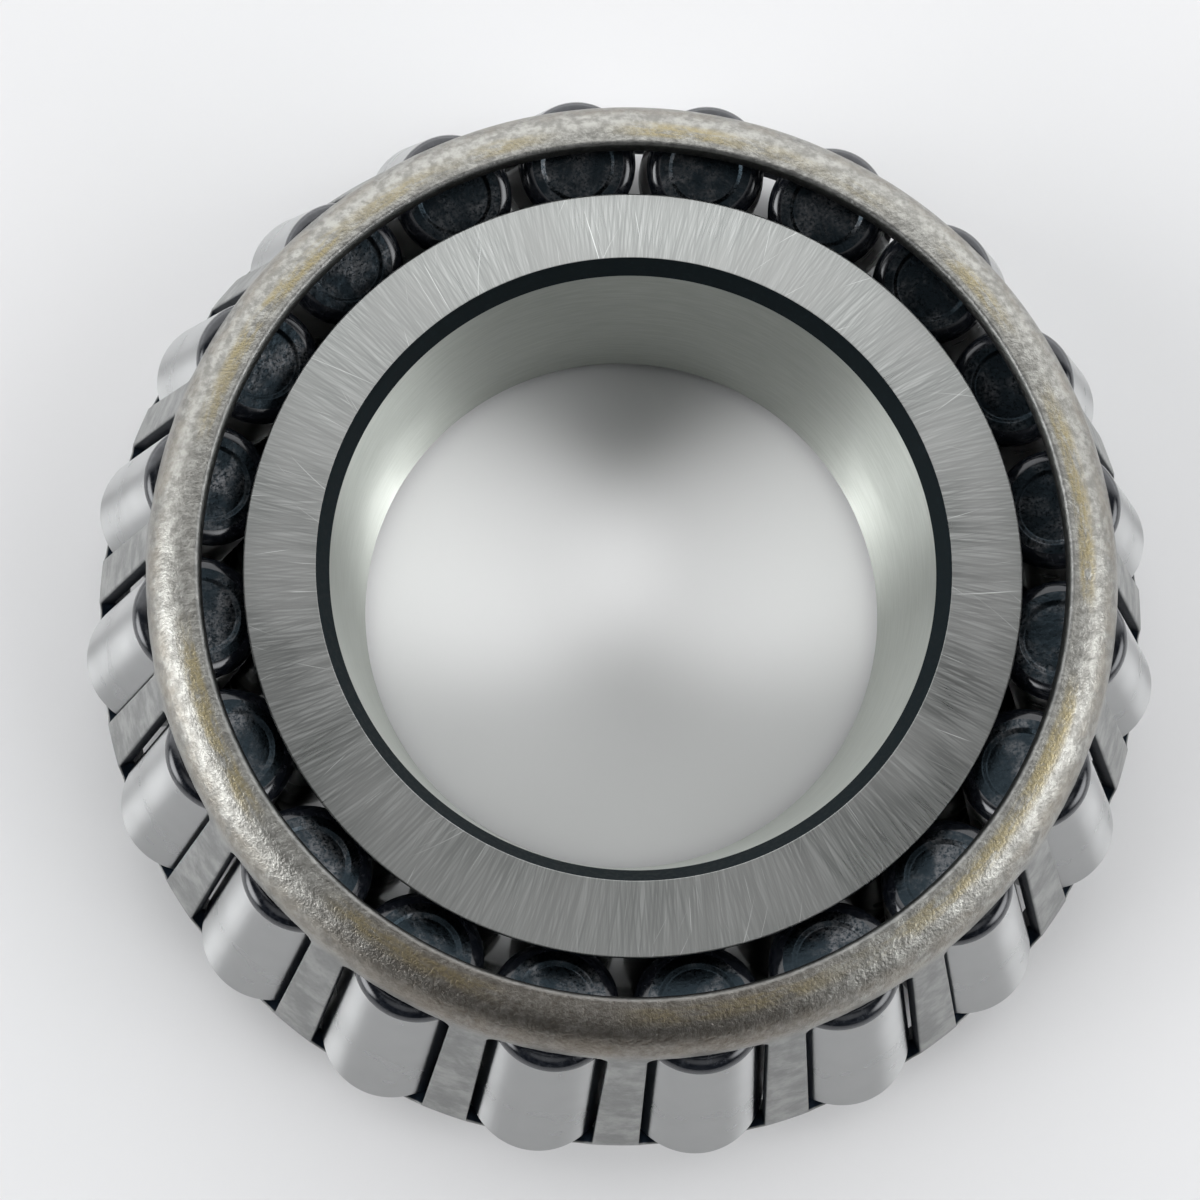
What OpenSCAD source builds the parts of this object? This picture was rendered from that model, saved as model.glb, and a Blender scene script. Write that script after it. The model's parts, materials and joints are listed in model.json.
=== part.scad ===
// Tapered roller bearing cone assembly: inner ring, window cage and tapered rollers.
// Origin: centre of the inner ring's back face. +Z: the bearing axis, towards the small rib.
// The roller axis and both raceway lines meet at one apex on the bearing axis, so the rollers roll without slip.

/* [Inner ring] */
// Bore diameter
bore_d = 70; // [60:0.5:72]
// Width of the inner ring between its two faces
ring_w = 35; // [34:0.5:36]
// Outer diameter of the small rib at the front face
small_rib_d = 88.6; // [87.8:0.1:89.4]
// Outer diameter of the large rib at the back face
large_rib_d = 115; // [112:0.5:116]
// Radial size of the bore chamfer at the front face
front_chamfer_r = 1.1; // [0.5:0.1:2]
// Axial size of the bore chamfer at the front face
front_chamfer_z = 2.7; // [1:0.1:3]
// Size of the bore chamfer at the back face
back_chamfer = 2.3; // [1:0.1:3]

/* [Rollers] */
// Number of rollers
roller_count = 20; // [16:1:20]
// Angle between the bearing axis and a roller's axis
roller_tilt = 25.3; // [25.1:0.1:25.5]
// Half-angle of a roller's cone
roller_taper = 3.5; // [3.4:0.05:3.55]
// Distance from the apex to a roller's large end face, along the roller
apex_to_large_end = 144.7; // [144.3:0.1:145]
// Length of a roller over its end faces
roller_len = 28.6; // [27:0.1:28.8]
// Corner radius at the large end
large_corner_r = 0.9; // [0.5:0.1:1.2]
// Corner radius at the small end
small_corner_r = 1.6; // [0.8:0.1:1.8]
// Diameter of the shallow recess in each end
recess_d = 9; // [7:0.1:10]

/* [Cage] */
// Thickness of the pressed sheet
sheet_t = 2; // [1.6:0.1:2.1]
// Height of the rim's flat top above the back face
rim_top = 40; // [39.8:0.1:40.6]
// Inner diameter of the rim
rim_d = 95.9; // [94:0.1:97]
// Outer diameter of the ring below the large ends
skirt_d = 136.6; // [136:0.1:137.2]
// Height of the ring's lower edge above the back face
skirt_bottom = 3.6; // [2:0.1:5]
// Outer radius of the bend between the rim and the wall
rim_bend_r = 5.4; // [4.8:0.1:5.8]
// Angle between the bearing axis and the wall
wall_angle = 27.7; // [27.5:0.1:27.9]
// Width of a pocket at the rollers' small ends
pocket_small_w = 12.9; // [12.6:0.1:13.2]
// Width of a pocket at the rollers' large ends
pocket_large_w = 15.7; // [15.6:0.1:16]

/* [Running gaps] */
// Gap between a roller and the raceway, and between its large end and the large rib
raceway_gap = 0.12; // [0.1:0.01:0.2]
// Gap between a roller's small end and the small rib
rib_gap = 0.45; // [0.3:0.05:0.6]
// Gap between a roller's large end and its pocket
pocket_large_gap = 0.45; // [0.3:0.05:0.6]
// Gap between a roller's small end and its pocket
pocket_small_gap = 1; // [0.6:0.1:1.4]

/* [Hidden] */
$fn = 96;
// Height of the apex, set so that the large rib's face ends at large_rib_z on its outer edge
large_rib_z = 4.8;
apex_z = large_rib_z + ((apex_to_large_end + raceway_gap) - large_rib_d / 2 * sin(roller_tilt)) / cos(roller_tilt);
apex_to_small_end = apex_to_large_end - roller_len;
large_end_r = apex_to_large_end * tan(roller_taper);
pitch = 360 / roller_count;

edge_chamfer = 0.8;
rim_edge_chamfer = 0.3;
relief_r = 0.9;
relief_small_r = 0.7;
recess_depth = 0.25;
rim_flat = 1.5;
skirt_bend_r = 5;
pocket_corner_r = 1.3;
arc_steps = 5;
cutter_h = 12;

function roller_name(k) = str("roller_", k < 10 ? "0" : "", k);

// A point of the meridian plane, from its distance s to the apex along the roller and its offset n outwards from it
function in_roller_frame(s, n) = [
    s * sin(roller_tilt) + n * cos(roller_tilt),
    apex_z - s * cos(roller_tilt) + n * sin(roller_tilt)
];

// The raceway line lies one running gap below the rollers
function on_raceway(s) = in_roller_frame(s, -s * tan(roller_taper) - raceway_gap / cos(roller_taper));

// The point at radius r on the line that is square to the rollers at distance s
function on_rib_face(s, r) = [r, apex_z - (s - r * sin(roller_tilt)) / cos(roller_tilt)];

// Points on an arc about c
function arc(c, r, from, to) = [
    for (i = [0:arc_steps]) let (a = from + (to - from) * i / arc_steps) c + r * [cos(a), sin(a)]
];

module ring_profile() {
    large_s = apex_to_large_end + raceway_gap;
    small_s = apex_to_small_end - rib_gap;
    small_rib_r = small_rib_d / 2;
    large_rib_r = large_rib_d / 2;
    bore_r = bore_d / 2;
    difference() {
        polygon([
            [bore_r, back_chamfer],
            [bore_r + back_chamfer, 0],
            [large_rib_r - edge_chamfer, 0],
            [large_rib_r, edge_chamfer],
            on_rib_face(large_s, large_rib_r) - [0, rim_edge_chamfer],
            on_rib_face(large_s, large_rib_r - rim_edge_chamfer),
            on_raceway(large_s),
            on_raceway(small_s),
            on_rib_face(small_s, small_rib_r - rim_edge_chamfer),
            on_rib_face(small_s, small_rib_r) + [0, rim_edge_chamfer],
            [small_rib_r, ring_w - rim_edge_chamfer],
            [small_rib_r - rim_edge_chamfer, ring_w],
            [bore_r + front_chamfer_r, ring_w],
            [bore_r, ring_w - front_chamfer_z]
        ]);
        translate(on_raceway(large_s)) circle(r = relief_r);
        translate(on_raceway(small_s)) circle(r = relief_small_r);
    }
}

module inner_ring() color("silver") rotate_extrude() ring_profile();

// Half of a roller's section: x is the radius, y runs from the large end to the small end
module roller_profile() {
    large_c = large_end_r - large_corner_r * (1 + sin(roller_taper)) / cos(roller_taper);
    small_y = roller_len - small_corner_r;
    small_c = large_end_r - small_y * tan(roller_taper) - small_corner_r / cos(roller_taper);
    side = [cos(roller_taper), sin(roller_taper)];
    recess_r = recess_d / 2;
    polygon([
        [0, recess_depth],
        [recess_r, recess_depth],
        [recess_r, 0],
        [large_c, 0],
        [large_c, large_corner_r] + large_corner_r * side,
        [small_c, small_y] + small_corner_r * side,
        [small_c, roller_len],
        [recess_r, roller_len],
        [recess_r, roller_len - recess_depth],
        [0, roller_len - recess_depth]
    ]);
    translate([large_c, large_corner_r]) circle(r = large_corner_r);
    translate([small_c, small_y]) circle(r = small_corner_r);
}

// Local z runs along roller k from its large end to the apex, and local x points outwards from it
module at_roller(k) {
    rotate([0, 0, pitch * (k - 1)])
        translate([0, 0, apex_z])
            rotate([0, -roller_tilt, 0])
                translate([0, 0, -apex_to_large_end])
                    children();
}

module roller(k) color("gainsboro") at_roller(k) rotate_extrude() roller_profile();

// The sheet's section: flat rim, bend, conical wall, second bend and straight skirt
module cage_profile() {
    square_to_wall = [cos(wall_angle), sin(wall_angle)];
    rim_r = rim_d / 2;
    skirt_r = skirt_d / 2;
    rim_c = [rim_r + rim_flat, rim_top - rim_bend_r];
    wall_top = rim_c + rim_bend_r * square_to_wall;
    skirt_x = skirt_r - skirt_bend_r;
    skirt_y = (wall_top * square_to_wall - skirt_bend_r - skirt_x * cos(wall_angle)) / sin(wall_angle);
    skirt_c = [skirt_x, skirt_y];
    polygon(concat(
        [[rim_r, rim_top]],
        arc(rim_c, rim_bend_r, 90, wall_angle),
        arc(skirt_c, skirt_bend_r, wall_angle, 0),
        [[skirt_r, skirt_bottom], [skirt_r - sheet_t, skirt_bottom]],
        arc(skirt_c, skirt_bend_r - sheet_t, 0, wall_angle),
        arc(rim_c, rim_bend_r - sheet_t, wall_angle, 90),
        [[rim_r, rim_top - sheet_t]]
    ));
}

// A pocket's outline, with x across it and y along the roller
module pocket_outline() {
    bottom = -pocket_large_gap;
    top = roller_len + pocket_small_gap;
    r = pocket_corner_r;
    big = pocket_large_w / 2;
    small = pocket_small_w / 2;
    slope = atan((big - small) / (top - bottom));
    big_c = big - r * (1 + sin(slope)) / cos(slope);
    small_c = small - r * (1 - sin(slope)) / cos(slope);
    polygon(concat(
        arc([big_c, bottom + r], r, -90, slope),
        arc([small_c, top - r], r, slope, 90),
        arc([-small_c, top - r], r, 90, 180 - slope),
        arc([-big_c, bottom + r], r, 180 - slope, 270)
    ));
}

module cage() {
    color("darkgray") difference() {
        rotate_extrude() cage_profile();
        for (k = [1:roller_count])
            at_roller(k)
                rotate([90, 0, 90])
                    linear_extrude(height = cutter_h)
                        pocket_outline();
    }
}

inner_ring();
cage();
for (k = [1:roller_count])
    roller(k);
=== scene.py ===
"""Looks of the tapered roller cone assembly: inner ring, window cage and rollers on a pale floor."""

import json
import math

import bmesh
import bpy
from mathutils import Matrix, Vector


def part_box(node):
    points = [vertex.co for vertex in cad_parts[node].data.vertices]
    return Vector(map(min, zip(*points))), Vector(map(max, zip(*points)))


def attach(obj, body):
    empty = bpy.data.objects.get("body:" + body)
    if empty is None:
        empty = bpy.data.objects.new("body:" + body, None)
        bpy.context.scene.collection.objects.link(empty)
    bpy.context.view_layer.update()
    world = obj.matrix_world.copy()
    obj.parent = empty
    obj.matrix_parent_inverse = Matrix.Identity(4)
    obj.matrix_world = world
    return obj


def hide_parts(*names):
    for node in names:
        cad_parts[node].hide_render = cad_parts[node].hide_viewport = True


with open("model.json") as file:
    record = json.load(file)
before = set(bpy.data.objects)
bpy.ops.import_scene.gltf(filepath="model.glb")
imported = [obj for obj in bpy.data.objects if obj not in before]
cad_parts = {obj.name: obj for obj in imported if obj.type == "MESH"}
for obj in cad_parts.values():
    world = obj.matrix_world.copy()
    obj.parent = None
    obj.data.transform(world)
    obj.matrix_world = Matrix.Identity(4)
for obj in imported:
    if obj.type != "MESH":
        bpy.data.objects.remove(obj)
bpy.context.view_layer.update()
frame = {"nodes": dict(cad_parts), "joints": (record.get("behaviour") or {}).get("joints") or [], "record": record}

MM = 0.001
WELD = 1e-7
joints = {joint["name"]: joint for joint in frame["joints"]}
mounts = {mount["name"]: mount for mount in frame["record"]["mounts"]}

# ---------------------------------------------------------------- sizes, in millimetres

# From the frame
ring_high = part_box("inner_ring")[1] / MM
cage_low, cage_high = (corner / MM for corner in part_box("cage"))
ROLLERS = sorted(name for name in frame["nodes"] if name.startswith("roller_"))
BORE_R = mounts["bore"]["dims"]["r_mm"]
RING_W = ring_high.z
LARGE_RIB_R = ring_high.x
SKIRT_R = cage_high.x
RIM_TOP = cage_high.z
SKIRT_BOTTOM = cage_low.z
first_axis = Vector(joints["roller_01_spin"]["axis"])
first_pos = Vector(joints["roller_01_spin"]["pos_m"]) / MM
TILT = math.acos(first_axis.z)
APEX_Z = first_pos.z + first_pos.x / math.tan(TILT)
PITCH = 2 * math.pi / len(ROLLERS)

# Inner ring
SMALL_RIB_R = 44.3
FRONT_CHAMFER_R = 1.1
FRONT_CHAMFER_Z = 2.7
BACK_CHAMFER = 2.3
RIB_CHAMFER = 0.8
RELIEF_R = 0.9
SMALL_RELIEF_R = 0.7

# Rollers
TAPER = math.radians(3.5)
ROLLER_LEN = 28.6
MIDDLE = first_pos.x / math.sin(TILT)
LARGE_END = MIDDLE + ROLLER_LEN / 2
SMALL_END = MIDDLE - ROLLER_LEN / 2
LARGE_CORNER = 0.9
SMALL_CORNER = 1.6
RECESS = 0.25
RECESS_R = 4.5
RECESS_SLOPE = 0.5
RACEWAY_GAP = 0.12
RIB_GAP = 0.45

# Cage
SHEET = 2.0
RIM_R = 47.95
RIM_FLAT = 1.5
RIM_BEND = 5.4
SKIRT_BEND = 5.0
WALL = math.radians(27.7)
POCKET_SMALL = 12.9
POCKET_LARGE = 15.7
POCKET_CORNER = 1.3
POCKET_LARGE_GAP = 0.45
POCKET_SMALL_GAP = 1.0
LIP_ROUND = 0.45
PUNCHED_ROUND = 0.28

# Mesh of the turned parts
RING_SEGMENTS = 360
ROLLER_SEGMENTS = 96

# Mesh of one cell of the cage, from the middle of one bar to the middle of the next: its steps, the room
# between a pocket's ends and the cell's, and about the sheet's radius there
CORNER_STEPS = 4
SHORT_STEPS = 4
LONG_STEPS = 8
RIM_STEPS = 14
SKIRT_STEPS = 8
CELL_CLEAR = 0.7
CELL_TOP_R = 56.0
CELL_BOTTOM_R = 67.0
# Support row beside a rounded edge, and the rows from the cell's edge to the pocket's
SUPPORT = 0.08
SHARES = (0.0, 0.25, 0.5, 0.75)

# The bearing lies on the floor with its rollers turned by this angle from the frame's
LIE = math.radians(7.43)

# ---------------------------------------------------------------- mesh helpers


def polar(angle):
    return Vector((math.cos(angle), math.sin(angle)))


def blended(a, b, t):
    return a + (b - a) * t


def turned(vector):
    """A direction or place as the camera's side sees it, turned into the frame."""
    return Matrix.Rotation(-LIE, 3, "Z") @ Vector(vector)


def rounded_outline(corners, steps=6, support=0.06):
    """A closed outline from (x, y, radius, surface) corners, and the surface of each of its edges.

    A corner is rounded to its radius. A negative radius cuts a round relief groove about the corner instead.
    Each corner's surface is the one that leaves it, and a fifth entry is the surface of the rounding itself.
    Support points beside an arc keep flat sides flat when shaded.
    """
    points, surfaces = [], []
    for i, (x, y, radius, surface, *rounding) in enumerate(corners):
        here = Vector((x, y))
        back = (Vector(corners[i - 1][:2]) - here).normalized()
        ahead = (Vector(corners[(i + 1) % len(corners)][:2]) - here).normalized()
        before = corners[i - 1][3]
        if radius == 0:
            points.append(here)
            surfaces.append(surface)
            continue
        half = back.angle(ahead) / 2
        groove = radius < 0
        reach = -radius if groove else radius / math.tan(half)
        centre = here if groove else here + (back + ahead).normalized() * radius / math.sin(half)
        start = here + back * reach - centre
        end = here + ahead * reach - centre
        first = math.atan2(start.y, start.x)
        sweep = (math.atan2(end.y, end.x) - first + math.pi) % (2 * math.pi) - math.pi
        if groove:
            sweep -= math.copysign(2 * math.pi, sweep)
        points.append(here + back * (reach + support))
        surfaces.append(before)
        for step in range(steps + 1):
            points.append(centre + polar(first + sweep * step / steps) * abs(radius))
            surfaces.append(rounding[0] if rounding else before if step < steps / 2 else surface)
        points.append(here + ahead * (reach + support))
        surfaces.append(surface)
    return points, surfaces


def finish_mesh(name, bm, materials, body):
    """Makes the object, rides it on its body and puts it in place of the body's CAD node."""
    bmesh.ops.remove_doubles(bm, verts=bm.verts, dist=WELD)
    bmesh.ops.recalc_face_normals(bm, faces=bm.faces)
    mesh = bpy.data.meshes.new(name)
    for face in bm.faces:
        face.smooth = True
    bm.to_mesh(mesh)
    bm.free()
    for material in materials:
        mesh.materials.append(material)
    obj = bpy.data.objects.new(name, mesh)
    bpy.context.scene.collection.objects.link(obj)
    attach(obj, body)
    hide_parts(body)


def revolve(bm, points, surfaces, order, segments, place=Matrix.Identity(4)):
    """Turns an outline of (radius, height) points about the local z axis, and sets each face's material.

    The materials read two vertex layers: own is the local place in millimetres, axis is the axis's direction.
    """
    own = bm.verts.layers.float_vector.new("own")
    axis = bm.verts.layers.float_vector.new("axis")
    direction = place.to_3x3() @ Vector((0, 0, 1))
    rings = []
    for radius, height in points:
        turns = 1 if radius == 0 else segments
        ring = []
        for turn in range(turns):
            across = polar(2 * math.pi * turn / segments) * radius
            local = Vector((across.x, across.y, height))
            vert = bm.verts.new(place @ (local * MM))
            vert[own] = local
            vert[axis] = direction
            ring.append(vert)
        rings.append(ring)
    for i, surface in enumerate(surfaces):
        a, b = rings[i], rings[(i + 1) % len(rings)]
        if len(a) == 1 and len(b) == 1:
            continue
        for turn in range(segments):
            after = (turn + 1) % segments
            corners = [a[turn % len(a)], a[after % len(a)], b[after % len(b)], b[turn % len(b)]]
            face = bm.faces.new(list(dict.fromkeys(corners)))
            face.material_index = order.index(surface)


# ---------------------------------------------------------------- node helpers


class Nodes:
    """A node tree, built by calls that take sockets or plain values."""

    def __init__(self, tree):
        self.tree = tree

    def node(self, kind, *inputs, out=0, **settings):
        node = self.tree.nodes.new("ShaderNode" + kind)
        for key, value in settings.items():
            setattr(node, key, value)
        for index, value in enumerate(inputs):
            self.put(node.inputs[index], value)
        return node.outputs[out]

    def put(self, socket, value):
        if isinstance(value, bpy.types.NodeSocket):
            self.tree.links.new(value, socket)
        else:
            socket.default_value = value

    def math(self, operation, *values):
        return self.node("Math", *values, operation=operation)

    def attribute(self, name):
        return self.node("Attribute", attribute_name=name, out="Vector")

    def split(self, vector):
        node = self.tree.nodes.new("ShaderNodeSeparateXYZ")
        self.put(node.inputs[0], vector)
        return node.outputs

    def join(self, x, y, z):
        return self.node("CombineXYZ", x, y, z)

    def noise(self, vector, scale, detail, rough=0.5, distortion=0.0):
        node = self.tree.nodes.new("ShaderNodeTexNoise")
        self.put(node.inputs["Vector"], vector)
        self.put(node.inputs["Scale"], scale)
        self.put(node.inputs["Detail"], detail)
        self.put(node.inputs["Roughness"], rough)
        self.put(node.inputs["Distortion"], distortion)
        return node.outputs[0]

    def span(self, value, low, high, to_low=0.0, to_high=1.0):
        """Eases from one value to another while the input runs from low to high."""
        return self.node("MapRange", value, low, high, to_low, to_high, interpolation_type="SMOOTHSTEP")

    def mix(self, share, a, b):
        """A colour mix: the node keeps its factor and its two colours in inputs 0, 6 and 7."""
        node = self.tree.nodes.new("ShaderNodeMix")
        node.data_type = "RGBA"
        for socket, value in zip((node.inputs[0], node.inputs[6], node.inputs[7]), (share, a, b)):
            self.put(socket, (*value, 1) if isinstance(value, tuple) else value)
        return node.outputs[2]

    def bump(self, height, strength, distance):
        node = self.tree.nodes.new("ShaderNodeBump")
        for key, value in (("Height", height), ("Strength", strength), ("Distance", distance * MM)):
            self.put(node.inputs[key], value)
        return node.outputs[0]


class Shader(Nodes):
    """A material's node tree, with its Principled shader."""

    def __init__(self, name):
        self.material = bpy.data.materials.new(name)
        self.material.use_nodes = True
        super().__init__(self.material.node_tree)
        self.surface = self.tree.nodes["Principled BSDF"]

    def set(self, **values):
        names = {"base": "Base Color", "metal": "Metallic", "rough": "Roughness", "normal": "Normal",
                 "stretch": "Anisotropic", "tangent": "Tangent", "coat": "Coat Weight",
                 "coat_rough": "Coat Roughness", "specular": "Specular IOR Level"}
        for key, value in values.items():
            self.put(self.surface.inputs[names[key]], (*value, 1) if isinstance(value, tuple) else value)
        return self.material


def cylinder_place(shader):
    """The own layer's radius and height, and the cosine and sine of its turn, which have no seam."""
    x, y, z = shader.split(shader.attribute("own"))
    squares = shader.math("ADD", shader.math("MULTIPLY", x, x), shader.math("MULTIPLY", y, y))
    radius = shader.math("SQRT", squares)
    return radius, z, shader.math("DIVIDE", x, radius), shader.math("DIVIDE", y, radius)


def ring_noise(shader, cos, sin, around, third, scale, detail, rough=0.5):
    """Noise that runs round the axis without a seam: how fast it changes around, and its third coordinate."""
    place = shader.join(shader.math("MULTIPLY", cos, around), shader.math("MULTIPLY", sin, around), third)
    return shader.noise(place, scale, detail, rough)


def axis_direction(shader):
    """The axis a surface was turned about, in world space."""
    return shader.node("VectorTransform", shader.attribute("axis"), vector_type="VECTOR",
                       convert_from="OBJECT", convert_to="WORLD")


def turned_marks(shader, around, fine):
    """Fine lines that run round the axis."""
    radius, height, cos, sin = cylinder_place(shader)
    return ring_noise(shader, cos, sin, around, shader.math("ADD", radius, height), fine, 4.0, 0.6)


# ---------------------------------------------------------------- materials


def ground_face():
    """Ground end faces: fine, nearly radial strokes over pale and dark clouds, and a few bright cuts."""
    shader = Shader("ground_face")
    own = shader.attribute("own")
    x, y = shader.split(own)[:2]
    radius = cylinder_place(shader)[0]
    face_r = 40.0
    turn = shader.math("MULTIPLY", shader.math("ARCTAN2", y, x), face_r)

    def strokes(slant, across, along, low, high):
        """Strokes at a slant from the radius: how fine across and along, and the noise that shows them."""
        shifted = shader.math("ADD", turn, shader.math("MULTIPLY", radius, slant))
        across_place = shader.math("MULTIPLY", shifted, across)
        along_place = shader.math("MULTIPLY", radius, along)
        place = shader.join(across_place, along_place, slant)
        return shader.span(shader.noise(place, 1.0, 2.0, 0.6), low, high)

    dark, pale = (0.31, 0.32, 0.31), (0.37, 0.375, 0.365)
    stroke_tint, cut_tint, cut_share = (0.60, 0.61, 0.595), (0.85, 0.87, 0.85), 0.85
    fine = strokes(0.12, 3.4, 0.07, 0.30, 0.70)
    fine = shader.math("MULTIPLY", fine, strokes(-0.06, 4.4, 0.09, 0.25, 0.65))
    cuts = strokes(0.60, 3.6, 0.05, 0.70, 0.75)
    cuts = shader.math("MAXIMUM", cuts, strokes(-0.16, 4.2, 0.06, 0.70, 0.75))
    cuts = shader.math("MAXIMUM", cuts, strokes(0.10, 5.2, 0.07, 0.69, 0.75))
    cloud = shader.noise(own, 0.09, 3.0)
    stroke_share = shader.math("MULTIPLY", fine, shader.span(cloud, 0.35, 0.65, 0.85, 0.5))
    base = shader.mix(shader.span(cloud, 0.35, 0.65), dark, pale)
    base = shader.mix(stroke_share, base, stroke_tint)
    base = shader.mix(shader.math("MULTIPLY", cuts, cut_share), base, cut_tint)
    rough = shader.math("ADD", shader.span(cloud, 0.3, 0.7, 0.26, 0.34), shader.math("MULTIPLY", fine, 0.06))
    relief = shader.math("ADD", fine, shader.math("MULTIPLY", cuts, -1.2))
    around = shader.node("VectorMath", axis_direction(shader), own, operation="CROSS_PRODUCT")
    return shader.set(base=base, metal=1.0, rough=rough, stretch=0.25, tangent=around,
                      normal=shader.bump(relief, 0.15, 0.01))


def ground_bore():
    """Ground cylindrical surfaces: fine lines round the axis, which smear reflections along it."""
    shader = Shader("ground_bore")
    dark, pale = (0.42, 0.44, 0.41), (0.49, 0.51, 0.48)
    lines = turned_marks(shader, 3.0, 2.6)
    cloud = shader.noise(shader.attribute("own"), 0.09, 2.0)
    base = shader.mix(shader.span(lines, 0.3, 0.7), dark, pale)
    rough = shader.math("ADD", shader.span(cloud, 0.3, 0.7, 0.33, 0.37), shader.math("MULTIPLY", lines, 0.06))
    return shader.set(base=base, metal=1.0, rough=rough, stretch=1.0, tangent=axis_direction(shader),
                      normal=shader.bump(lines, 0.15, 0.003))


def honed():
    """The raceway, the large rib's guide face and the rollers' large ends: close to a mirror."""
    shader = Shader("honed")
    dark, pale = (0.56, 0.57, 0.56), (0.62, 0.63, 0.62)
    lines = turned_marks(shader, 2.0, 3.2)
    base = shader.mix(shader.span(lines, 0.3, 0.7), dark, pale)
    return shader.set(base=base, metal=1.0, rough=shader.span(lines, 0.3, 0.7, 0.08, 0.12))


def black_scale():
    """Unground surfaces that keep the dark scale of hardening."""
    shader = Shader("black_scale")
    dark, pale = (0.002, 0.006, 0.008), (0.006, 0.012, 0.015)
    speckle = shader.noise(shader.attribute("own"), 1.8, 4.0, 0.6)
    base = shader.mix(shader.span(speckle, 0.45, 0.75), dark, pale)
    rough = shader.span(speckle, 0.3, 0.7, 0.45, 0.6)
    return shader.set(base=base, metal=0.0, rough=rough, specular=0.12,
                      normal=shader.bump(speckle, 0.3, 0.02))


def roller_body():
    """The rollers' ground sides: their fine lines smear reflections along the roller."""
    shader = Shader("roller_body")
    dark, pale = (0.45, 0.455, 0.455), (0.49, 0.495, 0.495)
    cloud = shader.noise(shader.attribute("own"), 0.12, 2.0)
    base = shader.mix(shader.span(cloud, 0.3, 0.7), dark, pale)
    rough = shader.span(cloud, 0.3, 0.7, 0.27, 0.30)
    return shader.set(base=base, metal=1.0, rough=rough, stretch=1.0, tangent=axis_direction(shader))


def roller_end():
    """The rollers' dark tumbled ends, with paler worn patches."""
    shader = Shader("roller_end")
    dark, worn_tint = (0.020, 0.028, 0.034), (0.15, 0.152, 0.158)
    place = shader.attribute("place")
    patches = shader.noise(place, 0.22, 5.0, 0.62, 0.4)
    grain = shader.noise(place, 2.6, 4.0, 0.7)
    worn = shader.math("MULTIPLY", shader.span(patches, 0.44, 0.70), shader.span(grain, 0.36, 0.62))
    base = shader.mix(worn, dark, worn_tint)
    rough = shader.span(grain, 0.3, 0.7, 0.24, 0.36)
    dents = shader.math("ADD", shader.noise(place, 0.55, 3.0, 0.6), shader.math("MULTIPLY", grain, 0.12))
    return shader.set(base=base, metal=1.0, rough=rough, normal=shader.bump(dents, 0.5, 0.18))


def roller_corner():
    """The rounded corner at a roller's small end: dark and glossy."""
    shader = Shader("roller_corner")
    dark, pale = (0.008, 0.010, 0.015), (0.03, 0.033, 0.04)
    grain = shader.noise(shader.attribute("place"), 1.6, 3.0, 0.6)
    base = shader.mix(shader.span(grain, 0.4, 0.75), dark, pale)
    rough = shader.span(grain, 0.3, 0.7, 0.12, 0.22)
    return shader.set(base=base, metal=0.2, rough=rough, coat=0.6, coat_rough=0.12,
                      normal=shader.bump(grain, 0.12, 0.02))


def cage_bars(shader, coarse, mottle):
    """The colour of the bars and the skirt: matte grey, with mottles and darker spots."""
    dark, pale, spot_tint, spot_share = (0.25, 0.255, 0.25), (0.38, 0.382, 0.375), (0.20, 0.20, 0.20), 0.35
    bars = shader.mix(shader.span(mottle, 0.35, 0.68), dark, pale)
    return shader.mix(shader.math("MULTIPLY", shader.span(coarse, 0.45, 0.75), spot_share), bars, spot_tint)


def cage_rim(shader, along, grain, coarse, mottle):
    """The colour of the rim: a broken yellow stain by the lip, warm patches on the bend that are partly painted
    shade, and a painted dark reflection on the side towards the camera.
    """
    dark, pale = (0.235, 0.230, 0.212), (0.41, 0.404, 0.376)
    stain_tint, warm_and_shade_tint = (0.35, 0.30, 0.18), (0.29, 0.26, 0.215)
    dark_reflection_tint, lip_tint = (0.13, 0.103, 0.078), (0.14, 0.145, 0.15)
    warm_and_shade_share, lip_share = 0.5, 0.5
    reflecting_side = polar(math.radians(-105))
    cos, sin = cylinder_place(shader)[2:]
    rim = shader.mix(shader.span(coarse, 0.35, 0.68), dark, pale)

    streak = ring_noise(shader, cos, sin, 9.0, shader.math("MULTIPLY", along, 0.9), 1.0, 5.0, 0.65)
    lengths = ring_noise(shader, cos, sin, 2.2, 3.0, 1.0, 1.0)
    band = shader.math("MULTIPLY", shader.span(along, 0.7, 1.3), shader.span(along, 2.0, 3.3, 1.0, 0.0))
    band = shader.math("MULTIPLY", band, shader.span(lengths, 0.40, 0.56))
    band = shader.math("MULTIPLY", band, shader.span(streak, 0.36, 0.56))
    band = shader.math("MULTIPLY", band, shader.span(grain, 0.3, 0.55, 0.45, 1.0))
    rim = shader.mix(band, rim, stain_tint)

    # Partly the sheet's warm tint and partly painted shade: the outer bend is darkened for the dark reflection it
    # takes.
    warm_and_shade = shader.math("MULTIPLY", shader.span(along, 3.6, 5.2), shader.span(mottle, 0.35, 0.60))
    rim = shader.mix(shader.math("MULTIPLY", warm_and_shade, warm_and_shade_share), rim, warm_and_shade_tint)

    # Painted dark reflection: the side towards the camera is tinted dark brown, standing in for the dark room that
    # the rim reflects there.
    facing_x = shader.math("MULTIPLY", cos, reflecting_side.x)
    facing = shader.math("ADD", facing_x, shader.math("MULTIPLY", sin, reflecting_side.y))
    painted_reflection = shader.math("MULTIPLY", shader.span(facing, 0.78, 0.97), shader.span(grain, 0.3, 0.6, 0.68, 0.42))
    rim = shader.mix(painted_reflection, rim, dark_reflection_tint)
    return shader.mix(shader.span(along, 0.15, 0.6, lip_share, 0.0), rim, lip_tint)


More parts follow.
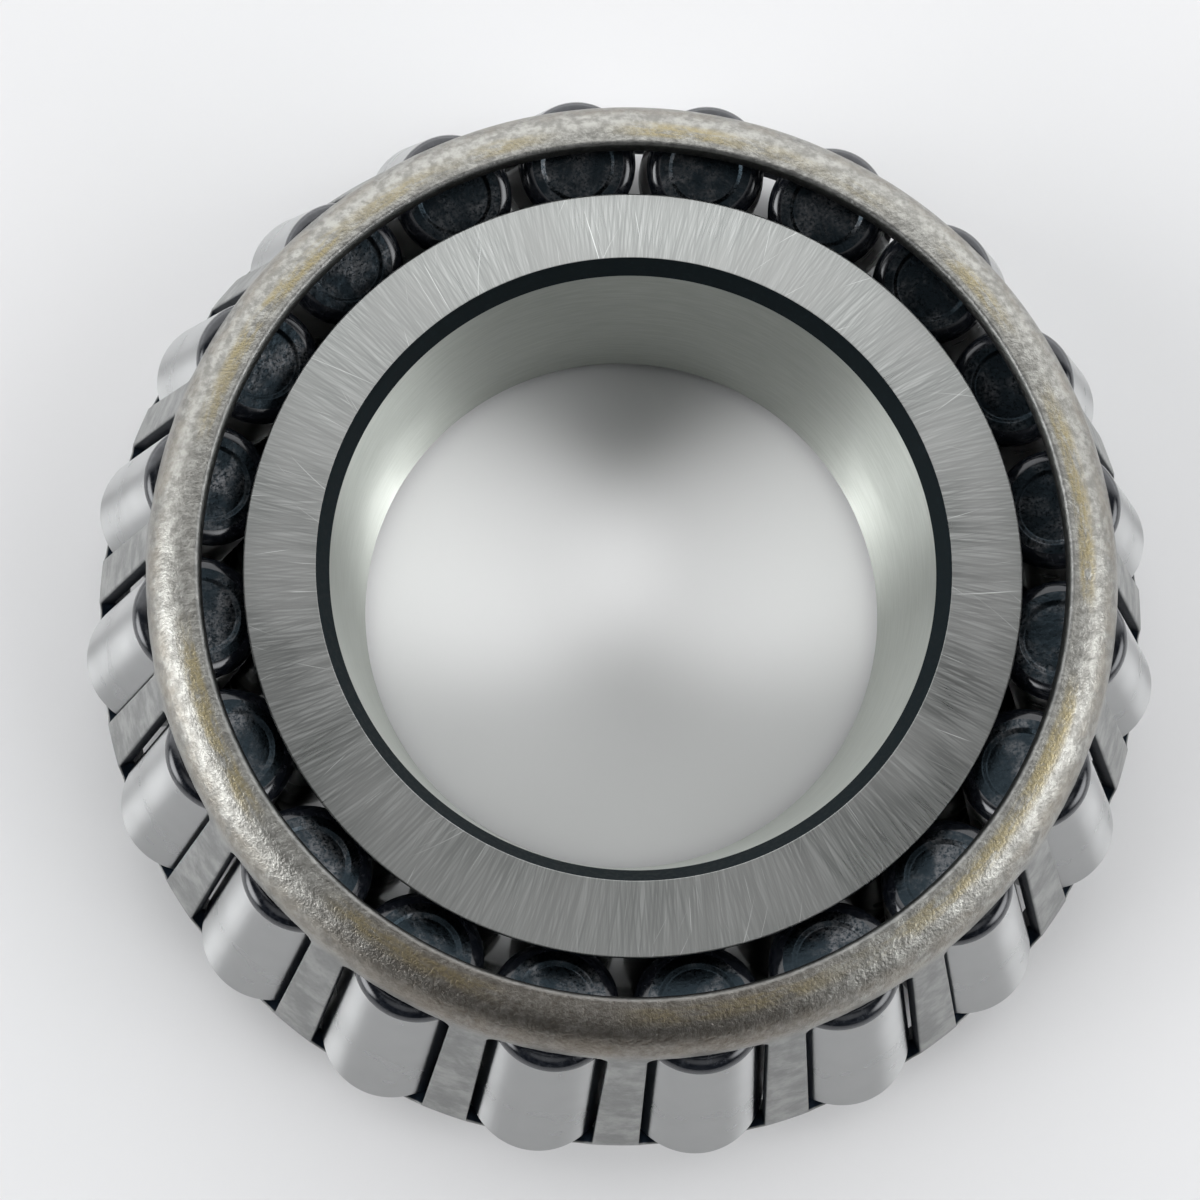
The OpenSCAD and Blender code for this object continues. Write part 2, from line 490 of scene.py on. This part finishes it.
def cage_sheet():
    """Pressed and pickled sheet: matte bars, a glossier stained rim, and painted shade on the sheet's walls and
    inner side under the outer side.
    """
    shader = Shader("cage_sheet")
    painted_shade_tint = (0.004, 0.008, 0.014)
    along, depth = shader.split(shader.attribute("sheet"))[:2]
    own = shader.attribute("own")
    grain = shader.noise(own, 2.6, 4.0, 0.65)
    coarse = shader.noise(own, 0.9, 4.0, 0.6)
    mottle = shader.noise(own, 0.28, 4.0, 0.6, 0.3)
    rim = shader.span(along, 6.4, 9.0, 1.0, 0.0)
    base = shader.mix(rim, cage_bars(shader, coarse, mottle), cage_rim(shader, along, grain, coarse, mottle))
    # Painted shade: the sheet's walls and inner side are darkened to near black, for the shade between the bars
    # and the rollers.
    painted_shade = shader.math("MULTIPLY", shader.span(depth, 0.05, 0.35), shader.span(along, 0.0, 0.5, 0.35, 1.0))
    base = shader.mix(painted_shade, base, painted_shade_tint)
    rough = shader.math("ADD", shader.span(rim, 0.0, 1.0, 0.46, 0.25), shader.math("MULTIPLY", grain, 0.14))
    relief = shader.math("ADD", shader.math("MULTIPLY", grain, shader.span(rim, 0.0, 1.0, 0.4, 1.6)), coarse)
    return shader.set(base=base, metal=shader.span(rim, 0.0, 1.0, 0.9, 1.0), rough=rough,
                      normal=shader.bump(relief, 0.6, 0.10))


# ---------------------------------------------------------------- inner ring


def rib_face(distance, radius):
    """The height at a radius of the line square to the rollers at a distance from the apex."""
    return APEX_Z - (distance - radius * math.sin(TILT)) / math.cos(TILT)


def on_raceway(distance):
    """Where the raceway line, one gap below the rollers, is at a distance from the apex."""
    offset = -distance * math.tan(TAPER) - RACEWAY_GAP / math.cos(TAPER)
    return (distance * math.sin(TILT) + offset * math.cos(TILT),
            APEX_Z - distance * math.cos(TILT) + offset * math.sin(TILT))


def build_inner_ring(materials):
    large = LARGE_END + RACEWAY_GAP
    small = SMALL_END - RIB_GAP
    corners = [
        (BORE_R, BACK_CHAMFER, 0.4, "black"),
        (BORE_R + BACK_CHAMFER, 0, 0.3, "face"),
        (LARGE_RIB_R - RIB_CHAMFER, 0, 0.3, "black"),
        (LARGE_RIB_R, RIB_CHAMFER, 0.3, "bore"),
        (LARGE_RIB_R, rib_face(large, LARGE_RIB_R), 0.35, "honed"),
        (*on_raceway(large), -RELIEF_R, "honed"),
        (*on_raceway(small), -SMALL_RELIEF_R, "black"),
        (SMALL_RIB_R, rib_face(small, SMALL_RIB_R), 0.35, "black"),
        (SMALL_RIB_R, RING_W, 0.25, "face"),
        (BORE_R + FRONT_CHAMFER_R, RING_W, 0.1, "black"),
        (BORE_R, RING_W - FRONT_CHAMFER_Z, 0.35, "bore"),
    ]
    points, surfaces = rounded_outline(corners)
    order = sorted(materials)
    bm = bmesh.new()
    revolve(bm, points, surfaces, order, RING_SEGMENTS)
    finish_mesh("inner_ring_body", bm, [materials[name] for name in order], "inner_ring")


# ---------------------------------------------------------------- rollers


def roller_outline():
    """Radius and height, from the centre of the large end to the centre of the small end."""
    large_r = LARGE_END * math.tan(TAPER)
    small_r = large_r - ROLLER_LEN * math.tan(TAPER)
    corners = [
        (0, RECESS, 0, "end"),
        (RECESS_R - RECESS_SLOPE, RECESS, 0.5, "end"),
        (RECESS_R, 0, 0.3, "lapped"),
        (large_r, 0, LARGE_CORNER, "body"),
        (small_r, ROLLER_LEN, SMALL_CORNER, "end", "corner"),
        (RECESS_R, ROLLER_LEN, 0.3, "end"),
        (RECESS_R - RECESS_SLOPE, ROLLER_LEN - RECESS, 0.5, "end"),
        (0, ROLLER_LEN - RECESS, 0, "end"),
    ]
    return rounded_outline(corners, steps=8)


def build_rollers(materials):
    points, surfaces = roller_outline()
    order = sorted(materials)
    for number, name in enumerate(ROLLERS):
        place = (
            Matrix.Rotation(number * PITCH, 4, "Z")
            @ Matrix.Translation((0, 0, APEX_Z * MM))
            @ Matrix.Rotation(-TILT, 4, "Y")
            @ Matrix.Translation((0, 0, -LARGE_END * MM))
        )
        bm = bmesh.new()
        revolve(bm, points, surfaces, order, ROLLER_SEGMENTS, place)
        layer = bm.verts.layers.float_vector.new("place")
        for vert in bm.verts:
            vert[layer] = vert.co / MM
        finish_mesh(name + "_body", bm, [materials[key] for key in order], name)


# ---------------------------------------------------------------- cage


class Sheet:
    """The cage's sheet, unrolled: along runs over its outer side from the rim's lip to the skirt's edge."""

    def __init__(self):
        square = polar(WALL)
        self.rim_c = Vector((RIM_R + RIM_FLAT, RIM_TOP - RIM_BEND))
        top = self.rim_c + square * RIM_BEND
        skirt_x = SKIRT_R - SKIRT_BEND
        skirt_y = (top.dot(square) - SKIRT_BEND - skirt_x * square.x) / square.y
        self.skirt_c = Vector((skirt_x, skirt_y))
        end = self.skirt_c + square * SKIRT_BEND
        self.top = top
        self.down = (end - top).normalized()
        self.square = square
        lengths = (RIM_FLAT, RIM_BEND * (math.pi / 2 - WALL), (end - top).length, SKIRT_BEND * WALL,
                   skirt_y - SKIRT_BOTTOM)
        self.ends = [sum(lengths[: i + 1]) for i in range(len(lengths))]
        self.length = self.ends[-1]

    def point(self, along, depth):
        """The radius and height at a length along the sheet and a depth under its outer side."""
        flat, bend, wall, turn = self.ends[:4]
        if along <= flat:
            return Vector((RIM_R + along, RIM_TOP - depth))
        if along <= bend:
            angle = math.pi / 2 - (along - flat) / RIM_BEND
            return self.rim_c + polar(angle) * (RIM_BEND - depth)
        if along <= wall:
            return self.top + self.down * (along - bend) - self.square * depth
        if along <= turn:
            angle = WALL - (along - wall) / SKIRT_BEND
            return self.skirt_c + polar(angle) * (SKIRT_BEND - depth)
        return Vector((SKIRT_R - depth, self.skirt_c.y - (along - turn)))

    def at_distance(self, distance):
        """The length along the sheet at which its outer side is at a distance from the apex."""
        low, high = 0.0, self.length
        for _ in range(40):
            middle = (low + high) / 2
            radius, height = self.point(middle, 0)
            if radius * math.sin(TILT) + (APEX_Z - height) * math.cos(TILT) < distance:
                low = middle
            else:
                high = middle
        return low


def quarter(radius, steps=4):
    """Steps round an edge: how far the outline grows, and how deep it is."""
    angles = [math.pi / 2 * step / steps for step in range(steps + 1)]
    return [(radius * (1 - math.sin(angle)), radius * (1 - math.cos(angle))) for angle in angles]


def mirrored(pairs):
    return [(-across, along) for across, along in reversed(pairs)]


def pocket_loop(top, bottom, grow, columns):
    """The pocket's outline grown by a width, and the cell's edge, point for point.

    Pocket points are (across in mm, along); edge points are (turn in radians, along).
    """
    small, large = POCKET_SMALL / 2 + grow, POCKET_LARGE / 2 + grow
    high, low = top - grow, bottom + grow
    radius = POCKET_CORNER + grow
    slope = math.atan((large - small) / (low - high))
    small_c = small - radius * (1 - math.sin(slope)) / math.cos(slope)
    large_c = large - radius * (1 + math.sin(slope)) / math.cos(slope)
    edge_top, edge_bottom = columns
    half_turn = PITCH / 2
    start, finish = small_c / CELL_TOP_R, large_c / CELL_BOTTOM_R
    half_short = SHORT_STEPS // 2
    right, right_edge = [], []
    for i in range(1, half_short + 1):
        share = i / half_short
        right.append((small_c * share, high))
        right_edge.append((start * share, edge_top))
    for i in range(1, 2 * CORNER_STEPS + 1):
        angle = blended(math.pi / 2, slope, i / (2 * CORNER_STEPS))
        right.append((small_c + radius * math.cos(angle), high + radius - radius * math.sin(angle)))
        share = i / CORNER_STEPS
        if share <= 1:
            right_edge.append((blended(start, half_turn, share), edge_top))
        else:
            right_edge.append((half_turn, blended(edge_top, high + radius, share - 1)))
    side_top = right[-1]
    side_bottom = (large_c + radius * math.cos(slope), low - radius - radius * math.sin(slope))
    for i in range(1, LONG_STEPS + 1):
        share = i / LONG_STEPS
        across = blended(side_top[0], side_bottom[0], share)
        right.append((across, blended(side_top[1], side_bottom[1], share)))
        right_edge.append((half_turn, blended(high + radius, low - radius, share)))
    for i in range(1, 2 * CORNER_STEPS + 1):
        angle = blended(slope, -math.pi / 2, i / (2 * CORNER_STEPS))
        right.append((large_c + radius * math.cos(angle), low - radius - radius * math.sin(angle)))
        share = i / CORNER_STEPS
        if share <= 1:
            right_edge.append((half_turn, blended(low - radius, edge_bottom, share)))
        else:
            right_edge.append((blended(half_turn, finish, share - 1), edge_bottom))
    for i in range(half_short - 1, 0, -1):
        share = i / half_short
        right.append((large_c * share, low))
        right_edge.append((finish * share, edge_bottom))
    loop = [(0.0, high), *right, (0.0, low), *mirrored(right)]
    edge = [(0.0, edge_top), *right_edge, (0.0, edge_bottom), *mirrored(right_edge)]
    return loop, edge


def skin(bm, rows, closed):
    """Faces between rows of vertices, each row a closed loop or an open line."""
    for a, b in zip(rows, rows[1:]):
        count = len(a) if closed else len(a) - 1
        for i in range(count):
            j = (i + 1) % len(a)
            bm.faces.new((a[i], a[j], b[j], b[i]))


def both_sides(edge):
    """An edge's rounding on the outer side and the same on the inner side, as (width, depth)."""
    return edge + [(width, SHEET - depth) for width, depth in reversed(edge)]


def even_steps(first, last, steps):
    return [blended(first, last, step / steps) for step in range(steps + 1)]


def cage_sector(bm, sheet, layers, turn):
    """One bar-to-bar cell of the cage with its pocket, and its parts of the rim and the skirt."""
    own, place = layers

    def vertex(angle, along, depth):
        radius, height = sheet.point(along, depth)
        spot = Vector((radius * math.cos(turn + angle), radius * math.sin(turn + angle), height))
        vert = bm.verts.new(spot * MM)
        vert[own] = spot
        vert[place] = (along, depth, 0)
        return vert

    def from_pocket(across, along, depth):
        return math.asin(across / sheet.point(along, depth).x), along, depth

    def between(share, depth):
        """A row part of the way from the cell's edge to the pocket."""
        row = []
        for (edge_turn, edge_along), (across, along) in zip(edge, nearest):
            pocket_turn = from_pocket(across, along, depth)[0]
            row.append((blended(edge_turn, pocket_turn, share), blended(edge_along, along, share), depth))
        return row

    top = sheet.at_distance(SMALL_END - POCKET_SMALL_GAP)
    bottom = sheet.at_distance(LARGE_END + POCKET_LARGE_GAP)
    columns = (top - CELL_CLEAR, bottom + CELL_CLEAR)
    punched = both_sides([(PUNCHED_ROUND + SUPPORT, 0.0), *quarter(PUNCHED_ROUND)])
    edge = pocket_loop(top, bottom, 0, columns)[1]
    nearest = pocket_loop(top, bottom, PUNCHED_ROUND + SUPPORT, columns)[0]
    rows = [between(share, 0.0) for share in SHARES]
    for width, depth in punched:
        loop = pocket_loop(top, bottom, width, columns)[0]
        rows.append([from_pocket(*spot, depth) for spot in loop])
    rows += [between(share, SHEET) for share in reversed(SHARES)]
    skin(bm, [[vertex(*spot) for spot in row] for row in rows], True)

    lip = both_sides([(LIP_ROUND + SUPPORT, 0.0), *quarter(LIP_ROUND)])
    high_turns = sorted({round(angle, 9) for angle, along in edge if math.isclose(along, columns[0])})
    low_turns = sorted({round(angle, 9) for angle, along in edge if math.isclose(along, columns[1])})
    flat_start = LIP_ROUND + 0.2
    band = even_steps(columns[0], flat_start, RIM_STEPS)
    path = [(along, 0.0) for along in band] + lip + [(along, SHEET) for along in reversed(band)]
    skin(bm, [[vertex(angle, along, depth) for angle in high_turns] for along, depth in path], False)
    band = even_steps(columns[1], sheet.length - flat_start, SKIRT_STEPS)
    path = [(along, 0.0) for along in band] + [(sheet.length - width, depth) for width, depth in lip]
    path += [(along, SHEET) for along in reversed(band)]
    skin(bm, [[vertex(angle, along, depth) for angle in low_turns] for along, depth in path], False)


def build_cage(material):
    sheet = Sheet()
    bm = bmesh.new()
    layers = bm.verts.layers.float_vector.new("own"), bm.verts.layers.float_vector.new("sheet")
    for number in range(len(ROLLERS)):
        cage_sector(bm, sheet, layers, number * PITCH)
    finish_mesh("cage_body", bm, [material], "cage")


# ---------------------------------------------------------------- stage, light and camera


def build_floor():
    bpy.ops.mesh.primitive_plane_add(size=6)
    floor = bpy.context.object
    floor.name = "floor"
    shader = Shader("floor_paper")
    place = shader.node("TexCoord", out="Object")
    dark, pale = (0.80, 0.80, 0.805), (0.83, 0.825, 0.83)
    base = shader.mix(shader.span(shader.noise(place, 9.0, 2.0), 0.3, 0.7), dark, pale)
    floor.data.materials.append(shader.set(base=base, rough=0.55, specular=0.3))


def build_world():
    """A pale room: bright on the far side, dark on the near side above a pale horizon, with two windows."""
    world = bpy.data.worlds.new("room")
    bpy.context.scene.world = world
    world.use_nodes = True
    shader = Nodes(world.node_tree)
    background = world.node_tree.nodes["Background"]
    direction = shader.node("TexCoord", out="Generated")
    up = shader.split(direction)[2]

    def towards(vector):
        """The cosine of the angle between the direction and a vector of the camera's side."""
        vector = tuple(turned(vector).normalized())
        return shader.node("VectorMath", direction, vector, operation="DOT_PRODUCT", out="Value")

    far_side = shader.span(towards((0, 1, 0)), 0.20, 0.42)
    level = shader.math("MULTIPLY", far_side, shader.span(up, 0.10, 0.45, 2.0, 1.60))
    level = shader.math("MAXIMUM", level, shader.span(up, 0.14, 0.26, 0.85, 0.0))
    # The left window, the right window and a glow overhead: place, inner and outer angle, strength
    glows = [
        ((-0.88, -0.16, 0.46), 6, 24, 6.0),
        ((0.80, -0.20, 0.56), 6, 26, 4.5),
        ((0.0, -0.22, 0.97), 4, 24, 0.65),
    ]
    for place, inner, outer, strength in glows:
        edge, full = math.cos(math.radians(outer)), math.cos(math.radians(inner))
        level = shader.math("ADD", level, shader.span(towards(place), edge, full, 0.0, strength))
    darkest = 0.02
    shader.put(background.inputs["Color"], (0.98, 0.99, 1.0, 1))
    shader.put(background.inputs["Strength"], shader.math("ADD", level, darkest))


def build_beam(name, towards, target, power):
    """A window's beam: it clears the ring's edge and lands on the far half of the floor in the bore."""
    reach = 170
    data = bpy.data.lights.new(name, "SPOT")
    data.energy = power
    data.spot_size = math.radians(17)
    data.spot_blend = 1.0
    data.shadow_soft_size = 0.005
    light = bpy.data.objects.new(name, data)
    light.location = (turned(target) + turned(towards) * reach) * MM
    light.rotation_euler = turned(towards).to_track_quat("Z", "Y").to_euler()
    bpy.context.scene.collection.objects.link(light)


def build_camera():
    """Stands nearly over the ring, a little to the near side."""
    place = turned((-8.9, -33.4, 187.0))
    ahead = turned((0.0309, 0.1831, -0.9826)).normalized()
    up = turned((0.0, 0.9831, 0.1832))
    up = (up - ahead * up.dot(ahead)).normalized()
    right = ahead.cross(up)
    data = bpy.data.cameras.new("camera")
    data.sensor_width = 36.0
    data.lens = 41.2
    data.clip_start = 0.01
    camera = bpy.data.objects.new("camera", data)
    rows = Matrix((right, up, -ahead)).transposed().to_4x4()
    camera.matrix_world = Matrix.Translation(place * MM) @ rows
    bpy.context.scene.collection.objects.link(camera)
    bpy.context.scene.camera = camera


build_camera()
build_floor()
build_world()
build_beam("left_beam", (-0.694, -0.135, 0.707), (22, 9, 0), 0.54)
build_beam("right_beam", (0.696, -0.123, 0.707), (-22, 9, 0), 0.58)
smooth = honed()
build_inner_ring({"face": ground_face(), "bore": ground_bore(), "honed": smooth, "black": black_scale()})
build_rollers({"body": roller_body(), "lapped": smooth, "corner": roller_corner(), "end": roller_end()})
build_cage(cage_sheet())
bpy.context.scene.view_settings.view_transform = "Standard"
